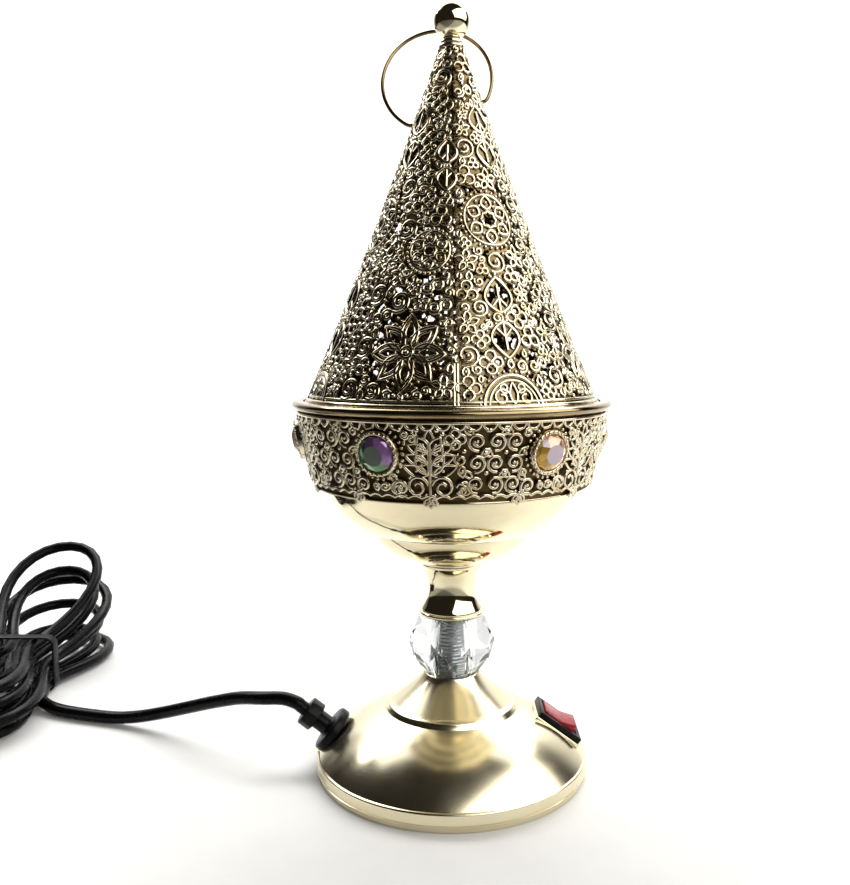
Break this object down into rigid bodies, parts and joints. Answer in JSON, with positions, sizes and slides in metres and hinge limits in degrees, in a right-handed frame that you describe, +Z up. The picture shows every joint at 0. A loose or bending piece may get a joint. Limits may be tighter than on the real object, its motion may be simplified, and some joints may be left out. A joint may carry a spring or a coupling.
{
  "type": "electric incense burner",
  "caption": "Electric incense burner: domed base with rocker switch and cord, faceted glass bead on the stem, jewelled gallery bowl and lift-off conical filigree lid with wire bail.",
  "frame": {"origin": "middle of the underside of the base plate, on the table", "axes": "+Z up along the stem; front is -Y; the switch is on the +X side and the cord leaves on the -X side"},
  "size_m": [0.3113, 0.1818, 0.2553],
  "materials": {
    "polished_gold": "polished pale gold plating",
    "satin_gold": "satin pale gold plating",
    "filigree_gold": "satin gold plating on stamped sheet and wire",
    "steel": "zinc-plated steel",
    "clear_glass": "clear, faceted",
    "stone_glass": "coated, iridescent",
    "ceramic": "unglazed",
    "hot_plate": "plain",
    "black_plastic": "satin",
    "red_plastic": "translucent gloss",
    "terminal_brass": "plain",
    "black_cord": "smooth flexible plastic",
    "blue_wire": "insulation",
    "brown_wire": "insulation"
  },
  "bodies": {
    "burner": {"base_shell": "satin_gold", "base_plate": "satin_gold", "base_lugs": "steel", "base_screws": "steel", "stem_rod": "steel", "lower_washer": "steel", "lower_nut": "steel", "glass_bead": "clear_glass", "column": "polished_gold", "bowl": "polished_gold", "upper_washer": "steel", "upper_nut": "steel", "deck_plate": "steel", "gallery_wall": "polished_gold", "gallery_band": "filigree_gold", "gallery_rim": "polished_gold", "stone_settings": "filigree_gold", "stones": "stone_glass", "heater_cup": "ceramic", "heater_element": "steel", "heater_plate": "hot_plate", "heater_screws": "steel", "switch_housing": "black_plastic", "switch_terminals": "terminal_brass", "cord_bushing": "black_plastic", "cord_end": "black_cord", "neutral_wire": "blue_wire", "supply_wire": "brown_wire", "live_wire": "brown_wire", "cord_lead": "black_cord", "cord_hank": "black_cord", "cord_tie": "black_cord", "cord_tail": "black_cord", "plug_body": "black_cord", "plug_pins": "steel"},
    "lid": {"lid_cone": "filigree_gold", "lid_hem": "filigree_gold", "finial_ball": "polished_gold", "finial_stud": "steel", "finial_washer": "steel", "finial_nut": "steel"},
    "bail": {"bail": "polished_gold"},
    "rocker": {"switch_rocker": "red_plastic"},
    "dish": {"incense_dish": "polished_gold"}
  },
  "joints": [
    {"name": "lid_lift", "type": "slide", "parent": "burner", "child": "lid", "axis": [0, 0, 1], "range_m": [0, 0.06]},
    {"name": "bail_swing", "type": "hinge", "parent": "lid", "child": "bail", "pos_m": [-0.00126, 0, 0.2205], "axis": [-0.9529, 0, -0.3032], "range_deg": [0, 100]},
    {"name": "switch_rock", "type": "hinge", "parent": "burner", "child": "rocker", "pos_m": [0.03589, 0, 0.01394], "axis": [0, 1, 0], "range_deg": [0, 18]},
    {"name": "dish_lift", "type": "slide", "parent": "burner", "child": "dish", "axis": [0, 0, 1], "range_m": [0, 0.03]}
  ]
}
